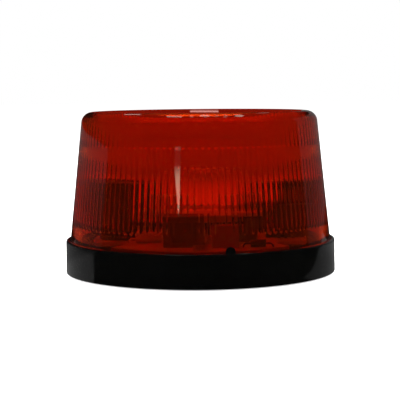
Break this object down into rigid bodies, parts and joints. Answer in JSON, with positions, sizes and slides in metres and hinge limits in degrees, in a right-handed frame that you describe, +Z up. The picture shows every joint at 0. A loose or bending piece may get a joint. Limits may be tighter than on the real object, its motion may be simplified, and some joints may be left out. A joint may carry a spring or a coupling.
{
  "type": "strobe light",
  "caption": "Low round strobe beacon: red fluted screw-on lens on a black base cup, with a flash tube, its reflector and a driver board inside.",
  "frame": {"origin": "middle of the mounting face, under the gasket", "axes": "+Z up along the lens axis, -Y towards the viewer, +X to the viewer's right"},
  "size_m": [0.098, 0.098, 0.0585],
  "materials": {
    "black_plastic": "moulded ABS, satin to glossy",
    "red_lens": "translucent red polycarbonate, polished outside",
    "black_rubber": "matt",
    "board_laminate": "solder-masked glass laminate",
    "bright_steel": "zinc plated",
    "reflector_metal": "polished",
    "natural_plastic": "nylon",
    "silicone": "matt silicone",
    "tube_glass": "clear",
    "capacitor_sleeve": "shrink sleeve",
    "black_aluminium": "black anodised",
    "moulding_compound": "moulded epoxy",
    "ferrite": "sintered ferrite",
    "winding_tape": "polyester tape over copper winding",
    "copper_winding": "enamelled copper",
    "block_plastic": "moulded nylon",
    "film_red": "epoxy dipped",
    "resistor_body": "lacquered"
  },
  "bodies": {
    "base": {"base_housing": "black_plastic", "mounting_gasket": "black_rubber", "cable_grommet": "black_rubber", "circuit_board": "board_laminate", "board_screws": "bright_steel", "reflector": "reflector_metal", "reflector_pillars": "natural_plastic", "tube_sleeves": "silicone", "tube_electrodes": "bright_steel", "flash_tube": "tube_glass", "trigger_wire": "bright_steel", "main_capacitor": "capacitor_sleeve", "heat_sink": "black_aluminium", "power_transistor": "moulding_compound", "heat_sink_screw": "bright_steel", "transformer_core": "ferrite", "transformer_winding": "winding_tape", "trigger_coil_former": "natural_plastic", "trigger_coil_winding": "copper_winding", "terminal_block": "block_plastic", "terminal_screws": "bright_steel", "trigger_capacitor": "film_red", "input_capacitor": "capacitor_sleeve", "timer_chip": "moulding_compound", "resistors": "resistor_body", "rectifier_diodes": "moulding_compound"},
    "lens_seal": {"lens_seal": "black_rubber"},
    "lens": {"lens": "red_lens"}
  },
  "joints": [
    {"name": "lens_rise", "type": "slide", "parent": "base", "child": "lens_seal", "axis": [0, 0, 1], "range_m": [0, 0.006]},
    {"name": "lens_twist", "type": "hinge", "parent": "lens_seal", "child": "lens", "pos_m": [0, 0, 0.01], "axis": [0, 0, 1], "range_deg": [0, 120]}
  ],
  "couplings": [
    {"joint": "lens_rise", "follows": "lens_twist", "m_per_rad": 0.002864}
  ]
}
